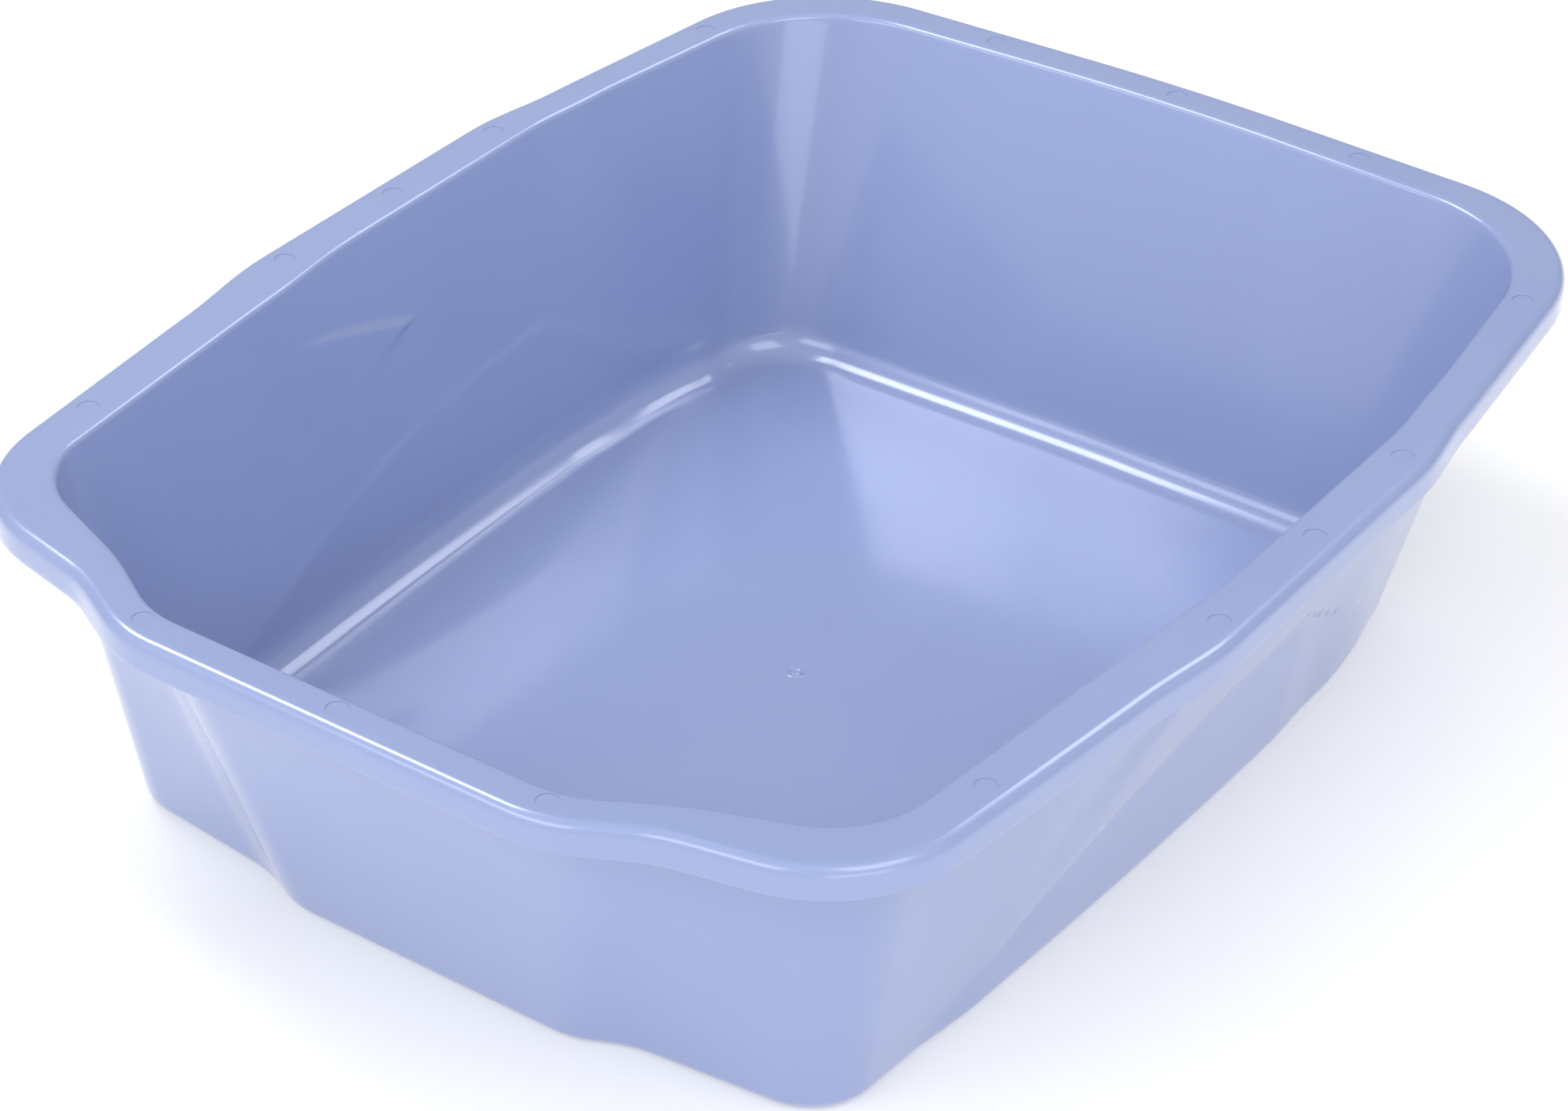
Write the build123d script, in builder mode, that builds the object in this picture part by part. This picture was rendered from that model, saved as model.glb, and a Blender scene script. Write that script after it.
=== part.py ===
"""Open pan: one thin-walled plastic moulding with a flat rim, a turned-down skirt and drafted walls.

Millimetres, +Z up. The pan stands on Z = 0. +Y runs from the front side, which bulges in its middle,
to the plain back side, and the pan is mirror-symmetric about X = 0.
"""

from build123d import *

import os
from math import copysign

# Overall size
pan_height = 124.0
pan_width = 384.0
front_reach = 257.0  # rim's front edge, from Y = 0
back_reach = 239.5  # rim's back edge, from Y = 0

# Thicknesses
wall = 2.0
floor_thickness = 2.3
rim_thickness = 2.2
skirt_wall = 1.9
skirt_depth = 11.0  # rim top to the lower edge of the skirt

# Rim width, and how far the walls lean in from the mouth down to the floor
rim_side = 18.5
rim_front = 15.0
rim_back = 16.0
side_lean = 23.5
front_lean = 32.5
back_lean = 52.0

# Rounds
rim_outer_round = 3.2
mouth_round = 1.8
floor_round = 13.0  # inside foot of the walls
base_round = 6.0  # outside foot of the walls
crown_round = 900.0  # the back is slightly crowned

# Outline of each level. The middle sections of the front and of both long sides stand out past the
# corner sections by a soft step: (in from the corner's end of the side, run, depth, bend radius).
# A corner is (in from the half width, in from the front or back, radius).
rim = {
    "front": -front_reach,
    "half_width": pan_width / 2,
    "back": back_reach,
    "front_step": (98.0, 30.0, 16.0, 50.0),
    "front_corner": (17.5, 30.0, 52.0),
    "side_front_step": (175.0, 30.0, 4.5, 100.0),
    "side_back_step": (163.5, 26.0, 4.5, 115.0),
    "back_corner": (21.5, 8.0, 66.0),
}
mouth = {
    "front": rim["front"] + rim_front,
    "half_width": rim["half_width"] - rim_side,
    "back": rim["back"] - rim_back,
    "front_step": (81.5, 28.0, 16.5, 40.0),
    "front_corner": (15.0, 37.0, 36.0),
    "side_front_step": (187.0, 50.0, 4.2, 170.0),
    "side_back_step": (139.0, 30.0, 2.5, 240.0),
    "back_corner": (18.0, 9.0, 56.0),
}
base = {
    "front": mouth["front"] + front_lean,
    "half_width": mouth["half_width"] - side_lean,
    "back": mouth["back"] - back_lean,
    "front_step": (88.5, 10.0, 7.5, 17.0),
    "front_corner": (9.5, 14.5, 24.0),
    "side_front_step": (99.5, 80.0, 7.0, 400.0),
    "side_back_step": (86.5, 40.0, 4.0, 280.0),
    "back_corner": (13.0, 2.5, 38.0),
}

# Ejector-pin marks in the rim top and the gate mark in the floor
pin_diameter = 7.4
pin_depth = 0.25
pin_inset = 9.5  # centre in from the rim's outer edge
side_pins_y = (90.0 - front_reach, -56.0, 2.0, 59.0, back_reach - 69.5)
end_pins_x = (116.0 - pan_width / 2, 0.0, pan_width / 2 - 116.0)
gate_diameter = 4.2
gate_rise = 0.6
gate_y = -10.0


def half_corners(level):
    """Corner points and radii of a level's right half, from the front step to the back corner."""
    side = level["half_width"]
    step_in, run, depth, bend = level["front_step"]
    first_in, first_run, first_depth, first_bend = level["side_front_step"]
    last_in, last_run, last_depth, last_bend = level["side_back_step"]
    front_in_x, front_in_y, front_radius = level["front_corner"]
    back_in_x, back_in_y, back_radius = level["back_corner"]
    step_x = side - step_in
    first_y = level["front"] + first_in
    last_y = level["back"] - last_in
    return [
        ((step_x - run / 2, level["front"]), bend),
        ((step_x + run / 2, level["front"] + depth), bend),
        ((side - front_in_x, level["front"] + front_in_y), front_radius),
        ((side - first_depth, first_y - first_run / 2), first_bend),
        ((side, first_y + first_run / 2), first_bend),
        ((side, last_y - last_run / 2), last_bend),
        ((side - last_depth, last_y + last_run / 2), last_bend),
        ((side - back_in_x, level["back"] - back_in_y), back_radius),
    ]


def all_corners(level, outset=0.0):
    """Corner points and radii all round a level, with every side moved outwards by outset."""
    half = half_corners(level)
    left = [((-x, y), radius) for (x, y), radius in reversed(half)]
    closed = half + [((0.0, level["back"]), crown_round)] + left
    points = [Vector(x, y) for (x, y), _ in closed]
    moved = []
    radii = []
    for index, (_, radius) in enumerate(closed):
        here = points[index]
        before = (here - points[index - 1]).normalized()
        after = (points[(index + 1) % len(points)] - here).normalized()
        out_before = before.rotate(Axis.Z, -90)
        out_after = after.rotate(Axis.Z, -90)
        moved.append(here + (out_before + out_after) * (outset / (1 + out_before.dot(out_after))))
        radii.append(radius + copysign(outset, before.cross(after).Z))
    return moved, radii


def draw_outline(level, outset=0.0):
    """Closed outline of a level, as a face in the sketch that is open."""
    points, radii = all_corners(level, outset)
    with BuildLine() as line:
        FilletPolyline(*points, radius=radii, close=True)
    make_face(line.edges())


def value_at(stations, station):
    """Value at a station, read off straight runs between (station, value) pairs."""
    for (low, at_low), (high, at_high) in zip(stations, stations[1:]):
        if low <= station <= high:
            return at_low + (at_high - at_low) * (station - low) / (high - low)
    raise ValueError(f"station {station} is off the rim")


def pin_places():
    """Centres of the ejector-pin marks, in from the rim's outer edge."""
    points = [point for point, _ in half_corners(rim)]
    side_edge = [(y, x) for x, y in points[2:]]
    back_edge = [(0.0, rim["back"]), points[-1]]
    right = [(value_at(side_edge, y) - pin_inset, y) for y in side_pins_y]
    left = [(-x, y) for x, y in right]
    front = [(x, rim["front"] + pin_inset) for x in end_pins_x]
    back = [(x, value_at(back_edge, abs(x)) - pin_inset) for x in end_pins_x]
    return right + left + front + back


# Hollow of the pan, up through the rim
with BuildPart() as hollow:
    with BuildSketch(Plane.XY.offset(floor_thickness)):
        draw_outline(base, -wall)
    with BuildSketch(Plane.XY.offset(pan_height)):
        draw_outline(mouth)
    loft(ruled=True)
    fillet(hollow.faces().sort_by(Axis.Z)[0].edges(), floor_round)

with BuildPart() as pan:
    # Walls and floor
    with BuildSketch():
        draw_outline(base)
    with BuildSketch(Plane.XY.offset(pan_height - rim_thickness)):
        draw_outline(mouth, wall)
    loft(ruled=True)
    fillet(pan.faces().sort_by(Axis.Z)[0].edges(), base_round)

    # Rim plate, and the skirt that turns down from its outer edge
    with BuildSketch(Plane.XY.offset(pan_height - rim_thickness)):
        draw_outline(rim)
    extrude(amount=rim_thickness)
    with BuildSketch(Plane.XY.offset(pan_height - skirt_depth)):
        draw_outline(rim)
        with BuildSketch(mode=Mode.SUBTRACT):
            draw_outline(rim, -skirt_wall)
    extrude(amount=skirt_depth - rim_thickness)
    fillet(pan.faces().sort_by(Axis.Z)[-1].outer_wire().edges(), rim_outer_round)

    # Open the hollow and soften its mouth
    add(hollow.part, mode=Mode.SUBTRACT)
    fillet(pan.faces().sort_by(Axis.Z)[-1].inner_wires()[0].edges(), mouth_round)

    # Ejector-pin marks round the rim, and the gate mark in the middle of the floor
    with BuildSketch(Plane.XY.offset(pan_height)):
        with Locations(*pin_places()):
            Circle(pin_diameter / 2)
    extrude(amount=-pin_depth, mode=Mode.SUBTRACT)
    with BuildSketch(Plane.XY.offset(floor_thickness)):
        with Locations((0, gate_y)):
            Circle(gate_diameter / 2)
    extrude(amount=gate_rise)

pan.part.label = "pan"
os.makedirs("parts", exist_ok=True)
export_step(pan.part, "parts/pan.step")
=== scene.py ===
"""Open pan in pearl plastic: one moulding with a flat rim, a turned-down skirt and pressed-out side walls.

Sizes in the text are millimetres; the modelling itself is in metres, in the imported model's frame.
+Y runs from the bulging front to the plain back, and the pan is mirror-symmetric about X = 0.
"""

from math import ceil, cos, hypot, pi, radians, sin, sqrt, tan

import bmesh
import bpy
from bpy.props import FloatProperty, FloatVectorProperty, PointerProperty
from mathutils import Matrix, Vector


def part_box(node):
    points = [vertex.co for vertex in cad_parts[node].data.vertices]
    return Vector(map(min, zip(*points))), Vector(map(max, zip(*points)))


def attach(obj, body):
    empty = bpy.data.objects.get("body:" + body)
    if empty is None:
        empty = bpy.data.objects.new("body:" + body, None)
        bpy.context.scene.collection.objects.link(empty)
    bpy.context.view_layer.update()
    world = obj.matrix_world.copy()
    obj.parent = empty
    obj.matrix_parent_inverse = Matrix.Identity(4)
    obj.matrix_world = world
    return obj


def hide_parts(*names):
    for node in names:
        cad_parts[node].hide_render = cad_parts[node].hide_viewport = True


bl_info = {
    "name": "Open Pan",
    "version": (1, 0, 0),
    "blender": (4, 5, 0),
    "location": "View3D > Sidebar > Open Pan",
    "description": "Models an open moulded pan and the plain stage that it stands on",
    "category": "Object",
}

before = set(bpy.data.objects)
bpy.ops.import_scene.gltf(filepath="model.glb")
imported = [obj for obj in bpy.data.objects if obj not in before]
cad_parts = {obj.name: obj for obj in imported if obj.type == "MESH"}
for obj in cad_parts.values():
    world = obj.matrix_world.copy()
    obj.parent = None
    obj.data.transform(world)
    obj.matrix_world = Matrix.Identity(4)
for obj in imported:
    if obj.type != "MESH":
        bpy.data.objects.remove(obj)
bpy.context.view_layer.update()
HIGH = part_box("pan")[1]

MM = 0.001
STATION = "station"  # vertex attribute: a vertex's number round its ring


# ---------------------------------------------------------------- outlines

# Each level of the pan is one closed outline, given by the corners of its right half from the front
# step to the back corner, as (x, y, radius), and by the middle of its back side. On the long sides
# the middle section stands at "middle", and blends into the corner sections over the two blend spans.
RIM = {
    "half": [
        (79.0, -257.0, 50.0),
        (109.0, -241.0, 50.0),
        (174.5, -227.0, 52.0),
        (187.5, -97.0, 300.0),
        (187.5, 89.0, 300.0),
        (170.5, 231.5, 66.0),
    ],
    "back": (0.0, 239.5, 900.0),
    "middle": 192.0,
    "front_blend": (-109.0, -55.0),
    "back_blend": (52.0, 100.0),
}
MOUTH = {
    "half": [
        (78.0, -242.0, 40.0),
        (106.0, -225.5, 100.0),
        (158.5, -205.0, 36.0),
        (169.3, -80.0, 300.0),
        (171.0, 101.0, 240.0),
        (155.5, 214.5, 56.0),
    ],
    "back": (0.0, 223.5, 900.0),
    "middle": 173.5,
    "front_blend": (-90.0, -20.0),
    "back_blend": (66.0, 106.0),
}
FOOT = {
    "half": [
        (53.5, -209.5, 28.0),
        (70.5, -201.5, 44.0),
        (140.5, -195.0, 24.0),
        (143.5, -130.0, 200.0),
        (146.0, 105.0, 280.0),
        (137.0, 169.0, 38.0),
    ],
    "back": (0.0, 171.5, 900.0),
    "middle": 144.0,
    "front_blend": (-150.0, -70.0),
    "back_blend": (65.0, 105.0),
}

# Stations on each arc and on each straight run of the right half, from the front step to mid-back
ARC_STATIONS = (9, 9, 18, 7, 6, 20)
RUN_STATIONS = (4, 8, 24, 72, 20, 22)
BACK_ARC_STATIONS = 11
FRONT_RUN_STATIONS = 26
FRONT_CORNER = 2  # place in "half" of the round between the front and a long side


def turned_right(direction):
    """A flat direction turned a quarter right, which points out of an outline that runs anticlockwise."""
    return Vector((direction.y, -direction.x))


def conic(start, corner, end, weight, share):
    """Point at a share of the way round the circular arc that touches both legs of a corner."""
    a = (1 - share) ** 2
    b = 2 * weight * share * (1 - share)
    c = share**2
    return (start * a + corner * b + end * c) / (a + b + c)


def arc_between(corner, before, after, radius, count):
    """Points on the arc that rounds a corner, from one straight side to the next."""
    inward = (corner - before).normalized()
    onward = (after - corner).normalized()
    turn = inward.angle_signed(onward)
    reach = radius * tan(abs(turn) / 2)
    weight = cos(turn / 2)
    start = corner - inward * reach
    end = corner + onward * reach
    return [conic(start, corner, end, weight, step / (count - 1)) for step in range(count)]


def closed_corners(level):
    """Corners with their radii, arc counts and run counts round a level, anticlockwise from above."""
    half = level["half"]
    left = [(-x, y, radius) for x, y, radius in reversed(half)]
    corners = half + [level["back"]] + left
    arcs = list(ARC_STATIONS) + [BACK_ARC_STATIONS] + list(reversed(ARC_STATIONS))
    runs = list(RUN_STATIONS) + list(reversed(RUN_STATIONS)) + [FRONT_RUN_STATIONS]
    return corners, arcs, runs


def outline(level, outset=0.0):
    """Points round a level, moved outwards by outset, the same number for every level."""
    corners, arcs, runs = closed_corners(level)
    points = [Vector((x, y)) for x, y, _ in corners]
    count = len(points)
    moved = []
    radii = []
    for index in range(count):
        before = (points[index] - points[index - 1]).normalized()
        after = (points[(index + 1) % count] - points[index]).normalized()
        out_before = turned_right(before)
        out_after = turned_right(after)
        shift = (out_before + out_after) * (outset / (1 + out_before.dot(out_after)))
        moved.append(points[index] + shift)
        bulging = before.cross(after) > 0
        radii.append(corners[index][2] + (outset if bulging else -outset))
    ring = []
    for index in range(count):
        here = moved[index]
        following = moved[(index + 1) % count]
        beyond = moved[(index + 2) % count]
        arc = arc_between(here, moved[index - 1], following, radii[index], arcs[index])
        ring.extend(arc)
        next_arc = arc_between(following, here, beyond, radii[(index + 1) % count], 2)
        steps = runs[index] + 1
        ring.extend(arc[-1].lerp(next_arc[0], step / steps) for step in range(1, steps))
    return ring


def smooth(share):
    """Eases from 0 to 1 with no kink at either end."""
    share = min(max(share, 0.0), 1.0)
    return share**3 * (share * (share * 6 - 15) + 10)


def blend_share(level, y):
    """How far a long side has swung out from its corner sections to its middle section, at y."""
    front_start, front_end = level["front_blend"]
    back_start, back_end = level["back_blend"]
    rising = smooth((y - front_start) / (front_end - front_start))
    falling = smooth((y - back_start) / (back_end - back_start))
    return rising * (1 - falling)


def on_side():
    """For each station, whether it lies on a long side, between the corner rounds."""
    corners, arcs, runs = closed_corners(RIM)
    back_corner = len(ARC_STATIONS) - 1
    left_back_corner = len(corners) - 1 - back_corner
    left_front_corner = len(corners) - 1 - FRONT_CORNER
    flags = []
    for index in range(len(corners)):
        arc_right = FRONT_CORNER < index < back_corner
        arc_left = left_back_corner < index < left_front_corner
        run_right = FRONT_CORNER <= index < back_corner
        run_left = left_back_corner <= index < left_front_corner
        flags.extend([arc_right or arc_left] * arcs[index])
        flags.extend([run_right or run_left] * runs[index])
    return flags


SIDE = on_side()
COUNT = len(SIDE)


def plain_ring(level, z, outset):
    """A flat ring round a level at height z, without the swing of its long sides."""
    return [Vector((point.x, point.y, z)) for point in outline(level, outset)]


def level_ring(level, z, outset=0.0):
    """A flat ring round a level at height z, with the middle of its long sides swung out."""
    ring = []
    for point, side in zip(outline(level, outset), SIDE):
        x, y = point
        if side:
            middle = level["middle"] + outset
            x += ((middle if x > 0 else -middle) - x) * blend_share(level, y)
        ring.append(Vector((x, y, z)))
    return ring


# ---------------------------------------------------------------- pressed-out side walls


def arc_through(start, end, rise):
    """Circle through two points of a wall, bulging by rise to the left of the way from start to end."""
    (y0, z0), (y1, z1) = start, end
    chord = hypot(y1 - y0, z1 - z0)
    radius = (chord**2 / 4 + rise**2) / (2 * rise)
    depth = radius - rise
    centre_y = (y0 + y1) / 2 + (z1 - z0) / chord * depth
    centre_z = (z0 + z1) / 2 - (y1 - y0) / chord * depth
    return centre_y, centre_z, radius


# Points and edges here are (y, z) on the long walls. The arched pocket stands on the foot: below its
# edge the wall steps in a little and is steeper. The step fades out at the arch's two low ends.
ARCH_TOP = (53.8, 56.1)
ARCH_FRONT = arc_through((-152.0, 4.0), ARCH_TOP, 14.0)
ARCH_BACK = arc_through(ARCH_TOP, (139.0, 1.5), 2.5)
ARCH_SLOPE = 0.133  # how much steeper the pocket is than the wall above it
ARCH_SOFT = 1.0
ARCH_LIP = 0.6  # how far the pocket stands proud of the wall at its edge
LIP_SOFT = 1.6
LIP_START = 16.0  # height of the arch at which the step starts
LIP_FADE = 14.0  # rise of the arch over which the step grows
BELOW_GROUND = -1000.0  # height given to an arch past its two ends

# The pad beside the front corner ends in a tip, under a small ledge that fades towards the front.
PAD_TIP = (-12.7, 87.2)
PAD_EDGE = arc_through((-150.0, 8.0), PAD_TIP, 15.0)
PAD_SHARE = 0.45  # how far the pad's tip has swung out, against the wall above it
PAD_START = 0.12  # share of the swing that the pad's edge itself has
TIP_SOFT = 2.5
EDGE_SOFT = 36.0  # how much softer the pad's edge is at its front end than at its tip
EDGE_FADE = 1.2
DEPTH_SOFT = 0.25  # how much softer the edge gets for each millimetre below the tip
LEDGE_START = (-100.0, 107.5)
LEDGE_RISE = 2.2  # bow of the ledge above its chord
LEDGE_SOFT = 1.1


def height_on(circle, y):
    """Height of a circle's upper side at y, and far down past its ends."""
    centre_y, centre_z, radius = circle
    across = y - centre_y
    if abs(across) >= radius:
        return BELOW_GROUND
    return centre_z + sqrt(radius**2 - across**2)


def inside(circle, y, z):
    """How far a point of the wall lies inside a circle."""
    centre_y, centre_z, radius = circle
    return radius - hypot(y - centre_y, z - centre_z)


def eased_positive(value, ease):
    """A value where it is positive and nothing where it is negative, with the corner between them eased."""
    return (value + sqrt(value**2 + ease**2)) / 2


def arch_height(y):
    """Height of the arch's edge at y, which is under the foot past its two ends."""
    if y < ARCH_TOP[0]:
        return height_on(ARCH_FRONT, y)
    return height_on(ARCH_BACK, y)


def ledge_height(y):
    """Height of the small ledge over the pad at y."""
    share = (y - LEDGE_START[0]) / (PAD_TIP[0] - LEDGE_START[0])
    chord = LEDGE_START[1] + (PAD_TIP[1] - LEDGE_START[1]) * share
    return chord + LEDGE_RISE * sin(pi * min(max(share, 0), 1))


def wall_share(y, z):
    """How far the long wall has swung out to its middle section at (y, z)."""
    tip_y, tip_z = PAD_TIP
    height = HIGH.z / MM
    top = min(max((z - tip_z) / (height - tip_z), 0.0), 1.0)
    start = LEDGE_START[0] + (MOUTH["front_blend"][0] - LEDGE_START[0]) * top
    end = tip_y + (MOUTH["front_blend"][1] - tip_y) * top
    above = smooth((y - start) / (end - start))
    along = min(max((y - LEDGE_START[0]) / (tip_y - LEDGE_START[0]), 0.0), 1.0)
    pad = PAD_SHARE * along
    ramp = TIP_SOFT + EDGE_SOFT * (1 - along) ** EDGE_FADE + max(0.0, tip_z - z) * DEPTH_SOFT
    below = pad + (1 - pad) * smooth(inside(PAD_EDGE, y, z) / ramp + PAD_START)
    if y > tip_y:
        below = max(below, smooth((y - tip_y) / TIP_SOFT))
    ledge = ledge_height(y)
    under = smooth((ledge - z) / LEDGE_SOFT)
    share = above + (min(below, above if z > ledge else 1.0) - above) * under
    back_start = FOOT["back_blend"][0] + (MOUTH["back_blend"][0] - FOOT["back_blend"][0]) * z / height
    back_end = FOOT["back_blend"][1] + (MOUTH["back_blend"][1] - FOOT["back_blend"][1]) * z / height
    return share * (1 - smooth((y - back_start) / (back_end - back_start)))


def swing_out(point, share, outset, side):
    """A point of the wall, pressed into the arched pocket, and on a long side swung out to its middle."""
    x, y, z = point
    arch = arch_height(y)
    under_arch = arch - z
    lip = ARCH_LIP * smooth(under_arch / LIP_SOFT + 0.5) * smooth((arch - LIP_START) / LIP_FADE)
    reach = abs(x) + ARCH_SLOPE * eased_positive(under_arch, ARCH_SOFT) - lip
    if side:
        middle = FOOT["middle"] + (MOUTH["middle"] - FOOT["middle"]) * share + outset
        reach += (middle - abs(x)) * wall_share(y, z)
    return Vector((reach if x > 0 else -reach, y, z))


def wall_ring(low, high, share, outset):
    """A ring of the wall, a share of the way from the foot's ring to the mouth's ring."""
    ring = []
    for bottom, top, side in zip(low, high, SIDE):
        ring.append(swing_out(bottom.lerp(top, share), share, outset, side))
    return ring


# ---------------------------------------------------------------- the pan's rings

# (radius, height) of the gate's mark, from its middle outwards
GATE_PROFILE = [
    (0.35, 0.45),
    (0.8, 0.4),
    (1.25, 0.15),
    (1.6, 0.1),
    (1.9, 0.5),
    (2.3, 0.55),
    (2.7, 0.1),
    (3.4, 0.0),
]
GATE_FLAT = 6.0  # radius of the first floor ring round the gate
FLOOR_SHARES = (0.0, 0.02, 0.06, 0.14, 0.3, 0.5, 0.7, 0.86, 0.95)
BASE_SHARES = (0.0, 0.3, 0.7)
LAND_SHARES = (0.25, 0.5, 0.75)

# How many rings each round takes
FOOT_RINGS = 9
BASE_RINGS = 8
MOUTH_RINGS = 7
RIM_RINGS = 9
NECK_RINGS = 4

# Heights of the bands of rings on the walls, and the pitch in each: fine where the relief is small
PAD_BAND = 59.0
LEDGE_BAND = (82.0, 110.0)
OUTER_LEDGE_BAND = (109.0, 82.0)
OUTER_FOOT = 12.0
MOUTH_MARGIN = 3.2
HEM_NICK = 0.45  # size of the small breaks along the skirt's lower edge
HEM_BREAK = 0.13
NECK_ROUND = 1.5  # fillets in the angles under the rim
NECK_BREAK = 0.4


def spaced(start, end, pitch):
    """Heights from start up to, but not at, end, about a pitch apart."""
    steps = max(1, ceil(abs(end - start) / abs(pitch)))
    return [start + (end - start) * step / steps for step in range(steps)]


def out_normals(ring):
    """Flat outward direction at each station of a ring."""
    normals = []
    for index in range(COUNT):
        along = ring[(index + 1) % COUNT] - ring[index - 1]
        normals.append(Vector((along.y, -along.x, 0)).normalized())
    return normals


def foot_round(ring, above, radius, count):
    """Rings of the round where a flat floor meets the wall, from the floor outwards."""
    normals = out_normals(ring)
    rings = []
    for step in range(count):
        share = step / (count - 1)
        row = []
        for corner, normal, up in zip(ring, normals, above):
            wall = (up - corner).normalized()
            turn = normal.angle(wall)
            reach = radius * tan(turn / 2)
            start = corner - normal * reach
            end = corner + wall * reach
            row.append(conic(start, corner, end, cos(turn / 2), share))
        rings.append(row)
    return rings


def mouth_round(corner, below, radius, count):
    """Rings of the round from a wall, coming up, out onto the flat rim."""
    normals = out_normals(corner)
    rings = []
    for step in range(count):
        share = step / (count - 1)
        row = []
        for point, normal, under in zip(corner, normals, below):
            wall = (point - under).normalized()
            turn = wall.angle(normal)
            reach = radius * tan(turn / 2)
            start = point - wall * reach
            end = point + normal * reach
            row.append(conic(start, point, end, cos(turn / 2), share))
        rings.append(row)
    return rings


def floor_rings(edge, centre, z, shares):
    """Rings from a small circle round the gate out towards the floor's edge."""
    gate = Vector((centre[0], centre[1], z))
    rings = []
    for share in shares:
        row = []
        for point in edge:
            flat = Vector((point.x, point.y, z)) - gate
            circle = flat.normalized() * GATE_FLAT
            row.append(gate + circle.lerp(flat, share))
        rings.append(row)
    return rings


def gate_rings(edge, centre, z):
    """Rings of the gate's nub and its dimple."""
    rings = []
    for radius, height in GATE_PROFILE:
        row = []
        for point in edge:
            direction = Vector((point.x - centre[0], point.y - centre[1], 0)).normalized()
            row.append(Vector((centre[0], centre[1], z + height)) + direction * radius)
        rings.append(row)
    return rings


def inner_rings(sizes, gate):
    """Rings of the inside, from the gate over the floor and up the wall to the flat rim."""
    height = sizes.height / MM
    wall = sizes.wall / MM
    floor = sizes.floor / MM
    span = height - floor
    low = plain_ring(FOOT, floor, -wall)
    high = plain_ring(MOUTH, height, 0.0)
    corner = wall_ring(low, high, 0.0, -wall)
    above = wall_ring(low, high, 0.04, -wall)
    foot = foot_round(corner, above, sizes.floor_round / MM, FOOT_RINGS)

    rings = gate_rings(foot[0], gate, floor)
    rings += floor_rings(foot[0], gate, floor, FLOOR_SHARES)
    rings += foot
    start = max(point.z for point in foot[-1]) + 0.6
    end = height - MOUTH_MARGIN
    levels = spaced(start, PAD_BAND, 1.5)
    levels += spaced(PAD_BAND, LEDGE_BAND[0], 2.8)
    levels += spaced(*LEDGE_BAND, 0.9)
    levels += spaced(LEDGE_BAND[1], end, 3.2)
    levels.append(end)
    for z in levels:
        share = (z - floor) / span
        rings.append(wall_ring(low, high, share, -wall * (1 - share)))
    top = wall_ring(low, high, 1.0, 0.0)
    below = wall_ring(low, high, (height - 4.0 - floor) / span, 0.0)
    return rings + mouth_round(top, below, sizes.mouth_round / MM, MOUTH_RINGS)


def rim_rings(sizes, mouth_edge):
    """Rings of the flat rim and the skirt, from the mouth's edge to the underside of the rim."""
    height = sizes.height / MM
    rim_round = sizes.rim_round / MM
    skirt_wall = sizes.skirt_wall / MM
    hem = height - sizes.skirt / MM
    under = height - sizes.rim_thickness / MM
    edge = level_ring(RIM, height, -rim_round)
    rings = []
    for share in LAND_SHARES:
        rings.append([a.lerp(b, share) for a, b in zip(mouth_edge, edge)])
    for step in range(RIM_RINGS):
        angle = pi / 2 * step / (RIM_RINGS - 1)
        drop = rim_round * (1 - cos(angle))
        rings.append(level_ring(RIM, height - drop, -rim_round * (1 - sin(angle))))
    for z in spaced(height - rim_round - 1.0, hem + HEM_NICK, -2.0) + [hem + HEM_NICK]:
        rings.append(level_ring(RIM, z))
    rings.append(level_ring(RIM, hem + HEM_BREAK, -HEM_BREAK))
    rings.append(level_ring(RIM, hem, -HEM_NICK))
    rings.append(level_ring(RIM, hem, -skirt_wall + HEM_NICK))
    rings.append(level_ring(RIM, hem + HEM_BREAK, -skirt_wall + HEM_BREAK))
    rings.append(level_ring(RIM, hem + HEM_NICK, -skirt_wall))
    rings.append(level_ring(RIM, under - NECK_ROUND, -skirt_wall))
    rings.append(level_ring(RIM, under - NECK_BREAK, -skirt_wall - NECK_BREAK))
    rings.append(level_ring(RIM, under, -skirt_wall - NECK_ROUND))
    return rings


def outer_rings(sizes, gate):
    """Rings of the outside, from under the rim down the wall and in over the underside."""
    height = sizes.height / MM
    wall = sizes.wall / MM
    under = height - sizes.rim_thickness / MM
    low = plain_ring(FOOT, 0.0, 0.0)
    high = plain_ring(MOUTH, height, wall)
    corner = wall_ring(low, high, under / height, wall * under / height)
    below = wall_ring(low, high, (under - 8.0) / height, wall * (under - 8.0) / height)
    rings = list(reversed(mouth_round(corner, below, NECK_ROUND, NECK_RINGS)))
    levels = spaced(under - 3.0, OUTER_LEDGE_BAND[0], 3.0)
    levels += spaced(*OUTER_LEDGE_BAND, 1.8)
    levels += spaced(OUTER_LEDGE_BAND[1], OUTER_FOOT, 2.2)
    for z in levels:
        rings.append(wall_ring(low, high, z / height, wall * z / height))
    base = wall_ring(low, high, 0.0, 0.0)
    above = wall_ring(low, high, 0.05, 0.0)
    base_round = foot_round(base, above, sizes.base_round / MM, BASE_RINGS)
    rings += reversed(base_round)
    rings += reversed(floor_rings(base_round[0], gate, 0.0, BASE_SHARES))
    return rings


def pan_rings(sizes):
    """Every ring of the pan, from the middle of the floor, over the rim, to the middle of the underside."""
    gate = (0.0, sizes.gate_y / MM)
    rings = inner_rings(sizes, gate)
    rings += rim_rings(sizes, rings[-1])
    return rings + outer_rings(sizes, gate)


# ---------------------------------------------------------------- ejector-pin marks

# Places of the marks along the long sides and across the two ends
SIDE_PINS = (-167.0, -56.0, 2.0, 59.0, 170.0)
END_PINS = (-76.0, 0.0, 76.0)


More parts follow.
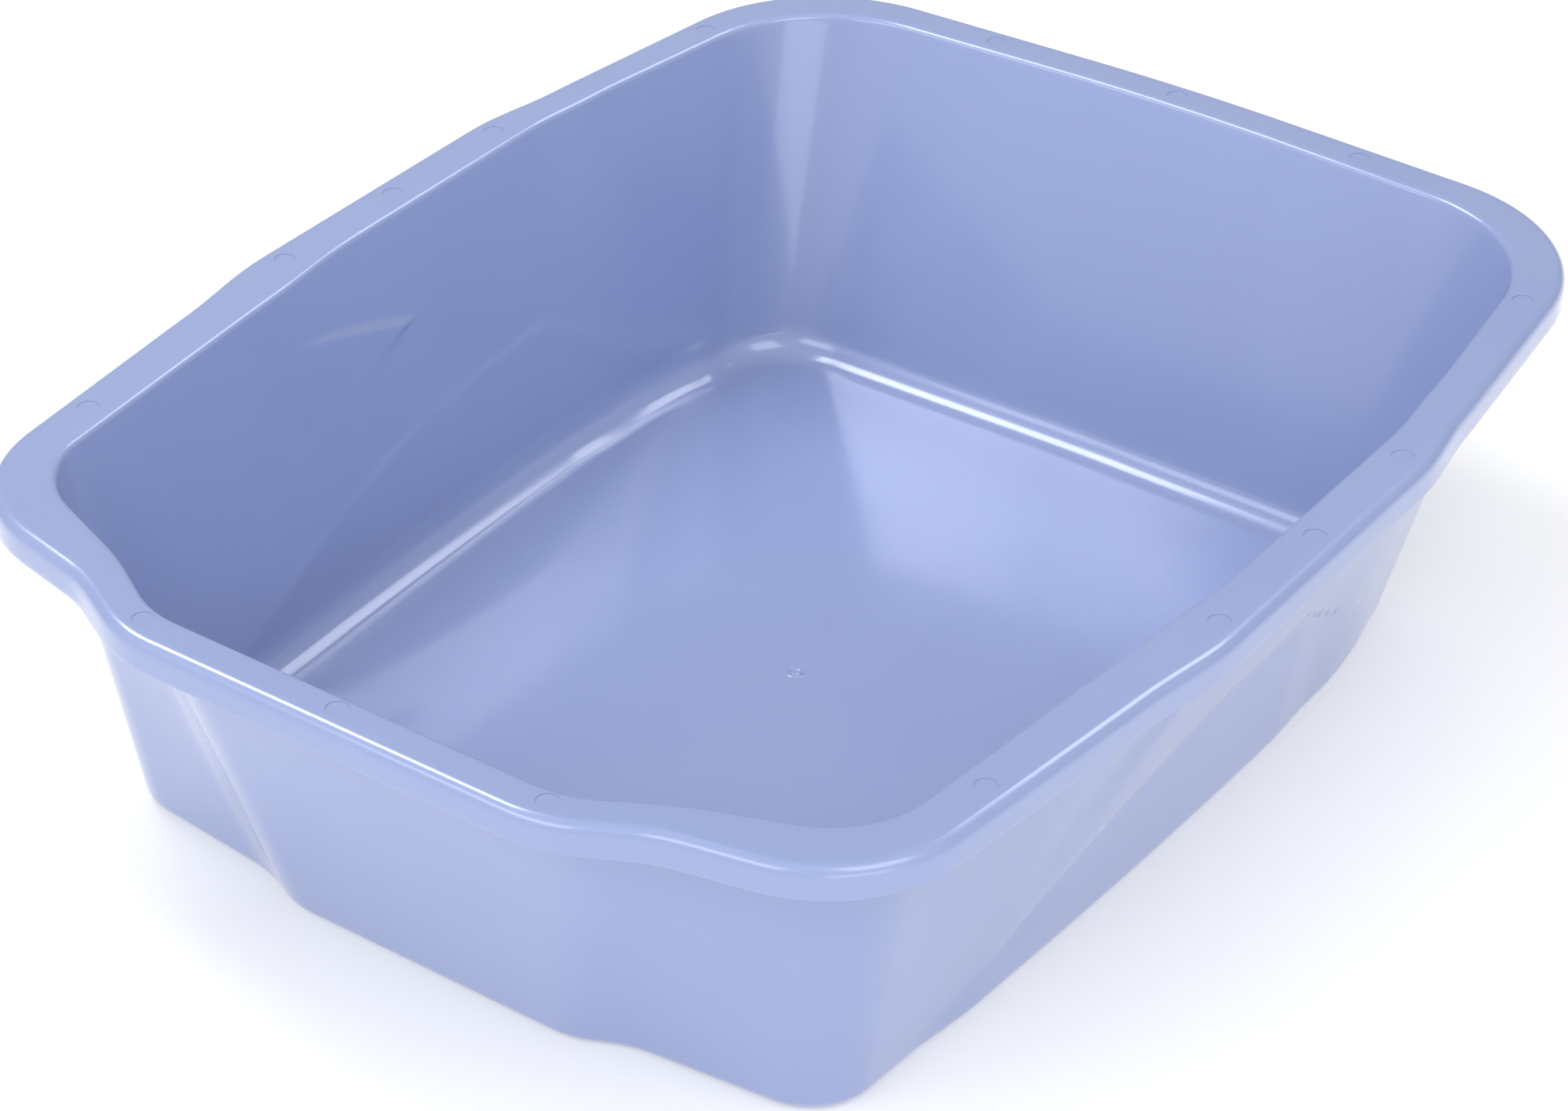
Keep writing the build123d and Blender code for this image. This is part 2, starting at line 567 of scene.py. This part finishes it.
def edge_at(ring, axis, value, sign):
    """Where a ring crosses a value of x or y, on the side of the pan that the sign names."""
    other = 1 - axis
    for a, b in zip(ring, ring[1:] + ring[:1]):
        low, high = sorted((a[axis], b[axis]))
        if low <= value < high and a[other] * sign > 0:
            return a.lerp(b, (value - a[axis]) / (b[axis] - a[axis]))[other]
    raise ValueError(f"the ring doesn't reach {value}")


def pin_places(inset):
    """Middles of the pin marks on the rim, set in from its outer edge."""
    ring = level_ring(RIM, HIGH.z / MM)
    places = []
    for y in SIDE_PINS:
        x = edge_at(ring, 1, y, 1) - inset
        places += [(x, y), (-x, y)]
    for x in END_PINS:
        places += [(x, edge_at(ring, 0, x, sign) - sign * inset) for sign in (1, -1)]
    return places


# ---------------------------------------------------------------- modelling helpers


def select_only(piece):
    """Makes one object the only one selected, and the active one."""
    bpy.ops.object.select_all(action="DESELECT")
    piece.select_set(True)
    bpy.context.view_layer.objects.active = piece


def place_ring(mesh, ring):
    """Puts the selected ring of vertices on a ring of points, station by station."""
    shape = bmesh.from_edit_mesh(mesh)
    station = shape.verts.layers.int[STATION]
    for vertex in shape.verts:
        if vertex.select:
            vertex.co = ring[vertex[station]] * MM
    bmesh.update_edit_mesh(mesh, loop_triangles=False, destructive=False)


def press_pins(piece, sizes):
    """Sinks the round marks of the ejector pins into the top of the rim."""
    bpy.ops.object.select_all(action="DESELECT")
    cutters = []
    for x, y in pin_places(sizes.pin_inset / MM):
        bpy.ops.mesh.primitive_cylinder_add(
            vertices=48,
            radius=sizes.pin_diameter / 2,
            depth=2 * sizes.pin_depth,
            location=(x * MM, y * MM, sizes.height),
        )
        cutters.append(bpy.context.object)
    for cutter in cutters:
        cutter.select_set(True)
    bpy.ops.object.join()
    cutter = bpy.context.object
    pressing = piece.modifiers.new("pin_marks", "BOOLEAN")
    pressing.operation = "DIFFERENCE"
    pressing.solver = "EXACT"
    pressing.object = cutter
    select_only(piece)
    bpy.ops.object.modifier_apply(modifier=pressing.name)
    select_only(cutter)
    bpy.ops.object.delete()


def hex_to_linear(code):
    """An sRGB hex colour as linear red, green and blue."""
    parts = [int(code[place : place + 2], 16) / 255 for place in (1, 3, 5)]
    return [part / 12.92 if part <= 0.04045 else ((part + 0.055) / 1.055) ** 2.4 for part in parts]


def add_node(tree, kind, settings=None, values=None, links=None):
    """Adds a shader node, with its settings, its input values and the sockets that feed it."""
    node = tree.nodes.new(kind)
    for name, value in (settings or {}).items():
        setattr(node, name, value)
    for name, value in (values or {}).items():
        node.inputs[name].default_value = value
    for name, socket in (links or {}).items():
        tree.links.new(socket, node.inputs[name])
    return node


# ---------------------------------------------------------------- materials

CLOUD_SCALE = 11.0  # slow clouds in the pigment, about 90 mm across
FLAKE_SIZE = 0.6  # pearl flakes are about 0.05 mm; drawn this coarse so that they show
FLAKE_HEIGHT = 0.02
FLAKE_GLOSS = 0.02  # how far the roughness wanders about its middle, from flake to flake


def pearl_polypropylene(look):
    """Polypropylene with pearl pigment, moulded in a polished tool: glossy, with a fine shimmer."""
    material = bpy.data.materials.new("pearl_polypropylene")
    material.use_nodes = True
    tree = material.node_tree
    tree.nodes.clear()
    place = add_node(tree, "ShaderNodeTexCoord")
    body = add_node(
        tree,
        "ShaderNodeBsdfPrincipled",
        values={
            "IOR": 1.49,
            "Metallic": look.pearl,
            "Specular IOR Level": 0.45,
            "Coat Weight": 0.75,
            "Coat Roughness": 0.1,
        },
    )
    # Flow of the pigment: slow clouds between its deeper and its paler colour
    clouds = add_node(
        tree,
        "ShaderNodeTexNoise",
        values={"Scale": CLOUD_SCALE, "Detail": 3.0, "Roughness": 0.5, "Distortion": 0.6},
        links={"Vector": place.outputs["Object"]},
    )
    pigment = add_node(
        tree,
        "ShaderNodeMix",
        {"data_type": "RGBA"},
        {6: (*look.deep_colour, 1), 7: (*look.pale_colour, 1)},
        {0: clouds.outputs["Fac"]},
    )
    flakes = add_node(
        tree,
        "ShaderNodeTexNoise",
        values={"Scale": 1 / (FLAKE_SIZE * MM), "Detail": 1.0},
        links={"Vector": place.outputs["Object"]},
    )
    gloss = add_node(
        tree,
        "ShaderNodeMapRange",
        values={
            "From Min": 0.3,
            "From Max": 0.7,
            "To Min": look.gloss - FLAKE_GLOSS,
            "To Max": look.gloss + FLAKE_GLOSS,
        },
        links={"Value": flakes.outputs["Fac"]},
    )
    bump = add_node(
        tree,
        "ShaderNodeBump",
        values={"Strength": 0.02, "Distance": FLAKE_HEIGHT * MM},
        links={"Height": flakes.outputs["Fac"]},
    )
    tree.links.new(pigment.outputs[2], body.inputs["Base Color"])
    tree.links.new(gloss.outputs["Result"], body.inputs["Roughness"])
    tree.links.new(bump.outputs["Normal"], body.inputs["Normal"])
    add_node(tree, "ShaderNodeOutputMaterial", links={"Surface": body.outputs["BSDF"]})
    return material


def opal_acrylic():
    """Opal acrylic table top, matt and lit from below, so that it stays nearly white under the pan."""
    material = bpy.data.materials.new("opal_acrylic")
    material.use_nodes = True
    body = material.node_tree.nodes["Principled BSDF"]
    body.inputs["Base Color"].default_value = (*hex_to_linear("#e6e6e6"), 1)
    body.inputs["Roughness"].default_value = 0.9
    body.inputs["Emission Color"].default_value = (1, 1, 1, 1)
    body.inputs["Emission Strength"].default_value = 0.25
    return material


# ---------------------------------------------------------------- studio

WHITE = (1, 1, 1, 1)
WORLD_BRIGHT_SIDE = (0.4, -0.75, 0.2)  # direction of the bright side of the studio
WORLD_LEVELS = (0.42, 1.0)  # strength of its dim and bright sides
TABLE_SIZE = 12.0

# name, place, aimed at, (width, height), watts
STUDIO_LIGHTS = [
    ("key_softbox", (-0.85, -0.02, 1.3), (0, 0, 0.05), (0.5, 0.6), 8.0),
    ("right_softbox", (0.9, -0.3, 1.4), (0, 0, 0.05), (0.8, 0.8), 4.6),
    ("back_softbox", (0.1, 1.3, 1.6), (0, 0, 0.05), (0.9, 0.25), 3.2),
    ("front_softbox", (-0.3, -1.5, 1.3), (0, 0, 0.05), (1.4, 0.6), 6.8),
    ("right_card", (1.6, -1.15, 0.45), (-0.1, 0.1, 0.05), (1.2, 0.7), 3.5),
]

CAMERA_PLACE = (0.6727, -1.0144, 0.8525)
CAMERA_TILT = 56.41  # degrees from looking straight down
CAMERA_SWING = 36.65  # degrees round to the right of the front
CAMERA_LENS = 99.1
CAMERA_SENSOR = 36
CAMERA_SHIFT = 0.1045


def studio_world():
    """White studio walls, dim behind the pan and bright in front of it, plain white to the camera."""
    world = bpy.data.worlds.new("studio_world")
    world.use_nodes = True
    tree = world.node_tree
    tree.nodes.clear()
    direction = add_node(tree, "ShaderNodeTexCoord")
    side = add_node(
        tree,
        "ShaderNodeVectorMath",
        {"operation": "DOT_PRODUCT"},
        {1: WORLD_BRIGHT_SIDE},
        {0: direction.outputs["Generated"]},
    )
    level = add_node(
        tree,
        "ShaderNodeMapRange",
        {"interpolation_type": "SMOOTHSTEP"},
        {"From Min": -0.6, "From Max": 0.6, "To Min": WORLD_LEVELS[0], "To Max": WORLD_LEVELS[1]},
        {"Value": side.outputs["Value"]},
    )
    walls = add_node(
        tree,
        "ShaderNodeBackground",
        values={"Color": WHITE},
        links={"Strength": level.outputs["Result"]},
    )
    plain = add_node(tree, "ShaderNodeBackground", values={"Color": WHITE})
    ray = add_node(tree, "ShaderNodeLightPath")
    mix = add_node(
        tree,
        "ShaderNodeMixShader",
        links={
            0: ray.outputs["Is Camera Ray"],
            1: walls.outputs["Background"],
            2: plain.outputs["Background"],
        },
    )
    add_node(tree, "ShaderNodeOutputWorld", links={"Surface": mix.outputs["Shader"]})
    return world


def aim(thing, target):
    """Points a light at a place."""
    thing.rotation_euler = (target - thing.location).to_track_quat("-Z", "Y").to_euler()


# ---------------------------------------------------------------- settings


def length(name, text, default):
    """A length setting in metres."""
    return FloatProperty(name=name, description=text, default=default, min=0.0, unit="LENGTH", precision=4)


def colour(name, text, default):
    """A colour setting, from its hex code."""
    return FloatVectorProperty(
        name=name,
        description=text,
        subtype="COLOR",
        size=3,
        default=hex_to_linear(default),
        min=0.0,
        max=1.0,
    )


def factor(name, text, default):
    """A setting between nothing and all."""
    return FloatProperty(name=name, description=text, default=default, subtype="FACTOR")


class OpenPanSizes(bpy.types.PropertyGroup):
    """Sizes of the moulding."""

    height: length("Height", "From the floor to the rim's top", HIGH.z)
    wall: length("Wall", "Thickness of the walls", 2.0 * MM)
    floor: length("Floor", "Thickness of the floor", 2.3 * MM)
    rim_thickness: length("Rim thickness", "Thickness of the flat rim", 2.2 * MM)
    skirt: length("Skirt", "Depth of the skirt, from the rim's top", 11.0 * MM)
    skirt_wall: length("Skirt wall", "Thickness of the skirt", 1.9 * MM)
    rim_round: length("Rim round", "Radius of the rim's outer edge", 4.0 * MM)
    mouth_round: length("Mouth round", "Radius of the rim's inner edge", 2.4 * MM)
    floor_round: length("Floor round", "Radius inside the foot of the walls", 13.0 * MM)
    base_round: length("Base round", "Radius outside the foot of the walls", 6.0 * MM)
    pin_diameter: length("Pin mark", "Diameter of the ejector-pin marks in the rim", 7.4 * MM)
    pin_depth: length("Pin depth", "Depth of the ejector-pin marks", 0.25 * MM)
    pin_inset: length("Pin inset", "From the rim's outer edge to the middle of a pin mark", 9.5 * MM)
    gate_y: FloatProperty(
        name="Gate place",
        description="Place of the gate mark along the pan",
        default=-10.0 * MM,
        unit="LENGTH",
    )


class OpenPanLook(bpy.types.PropertyGroup):
    """Finish of the plastic."""

    deep_colour: colour("Deep colour", "Darker side of the pigment", "#8a98c4")
    pale_colour: colour("Pale colour", "Paler side of the pigment", "#93a1cb")
    pearl: factor("Pearl", "Share of metallic shimmer", 0.08)
    gloss: factor("Roughness", "Roughness of the surface", 0.24)


# ---------------------------------------------------------------- operators


class OPENPAN_OT_moulding(bpy.types.Operator):
    """Models the pan as one moulding, ring by ring, from the floor over the rim to the underside"""

    bl_idname = "openpan.moulding"
    bl_label = "Pan moulding"
    bl_options = {"REGISTER", "UNDO"}

    def execute(self, context):
        scene = context.scene
        rings = pan_rings(scene.open_pan_sizes)
        bpy.ops.object.select_all(action="DESELECT")
        bpy.ops.mesh.primitive_circle_add(vertices=COUNT, radius=MM, location=(0, 0, 0))
        piece = context.object
        piece.name = "pan_moulding"
        mesh = piece.data
        mesh.name = "pan_moulding"
        station = mesh.attributes.new(STATION, "INT", "POINT")
        station.data.foreach_set("value", range(COUNT))

        bpy.ops.object.mode_set(mode="EDIT")
        bpy.ops.mesh.select_all(action="SELECT")
        place_ring(mesh, rings[0])
        bpy.ops.mesh.edge_face_add()
        for ring in rings[1:]:
            bpy.ops.mesh.extrude_edges_move()
            place_ring(mesh, ring)
        bpy.ops.mesh.edge_face_add()
        bpy.ops.mesh.select_all(action="SELECT")
        bpy.ops.mesh.normals_make_consistent(inside=False)
        bpy.ops.object.mode_set(mode="OBJECT")
        mesh.attributes.remove(mesh.attributes[STATION])
        press_pins(piece, scene.open_pan_sizes)
        select_only(piece)
        bpy.ops.object.shade_smooth_by_angle(angle=radians(50))

        mesh.materials.clear()
        mesh.materials.append(pearl_polypropylene(scene.open_pan_look))
        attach(piece, "root")
        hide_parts("pan")
        return {"FINISHED"}


class OPENPAN_OT_stage(bpy.types.Operator):
    """Lays the plain floor, hangs the soft studio lights and sets up the camera"""

    bl_idname = "openpan.stage"
    bl_label = "Stage"
    bl_options = {"REGISTER", "UNDO"}

    def execute(self, context):
        scene = context.scene
        bpy.ops.object.select_all(action="DESELECT")
        bpy.ops.mesh.primitive_plane_add(size=TABLE_SIZE, location=(0, 0, 0))
        floor = context.object
        floor.name = "studio_floor"
        floor.data.materials.append(opal_acrylic())

        scene.world = studio_world()
        scene.view_settings.view_transform = "Standard"

        for name, place, target, size, power in STUDIO_LIGHTS:
            bpy.ops.object.light_add(type="AREA", location=place)
            lamp = context.object
            lamp.name = name
            lamp.data.shape = "RECTANGLE"
            lamp.data.size, lamp.data.size_y = size
            lamp.data.energy = power
            aim(lamp, Vector(target))

        bpy.ops.object.camera_add(location=CAMERA_PLACE)
        camera = context.object
        camera.name = "camera"
        camera.rotation_euler = (radians(CAMERA_TILT), 0, radians(CAMERA_SWING))
        camera.data.lens = CAMERA_LENS
        camera.data.sensor_width = CAMERA_SENSOR
        camera.data.shift_x = CAMERA_SHIFT
        scene.camera = camera
        return {"FINISHED"}


class OPENPAN_PT_panel(bpy.types.Panel):
    """Sizes, finish and steps of the open pan"""

    bl_label = "Open Pan"
    bl_idname = "OPENPAN_PT_panel"
    bl_space_type = "VIEW_3D"
    bl_region_type = "UI"
    bl_category = "Open Pan"

    def draw(self, context):
        layout = self.layout
        for group in (context.scene.open_pan_sizes, context.scene.open_pan_look):
            box = layout.box()
            for name in group.__annotations__:
                box.prop(group, name)
        for operator in (OPENPAN_OT_moulding, OPENPAN_OT_stage):
            layout.operator(operator.bl_idname)


CLASSES = (OpenPanSizes, OpenPanLook, OPENPAN_OT_moulding, OPENPAN_OT_stage, OPENPAN_PT_panel)


def register():
    for entry in CLASSES:
        bpy.utils.register_class(entry)
    bpy.types.Scene.open_pan_sizes = PointerProperty(type=OpenPanSizes)
    bpy.types.Scene.open_pan_look = PointerProperty(type=OpenPanLook)


def unregister():
    del bpy.types.Scene.open_pan_look
    del bpy.types.Scene.open_pan_sizes
    for entry in reversed(CLASSES):
        bpy.utils.unregister_class(entry)


def main():
    register()
    bpy.ops.openpan.moulding()
    bpy.ops.openpan.stage()


if __name__ == "__main__":
    main()
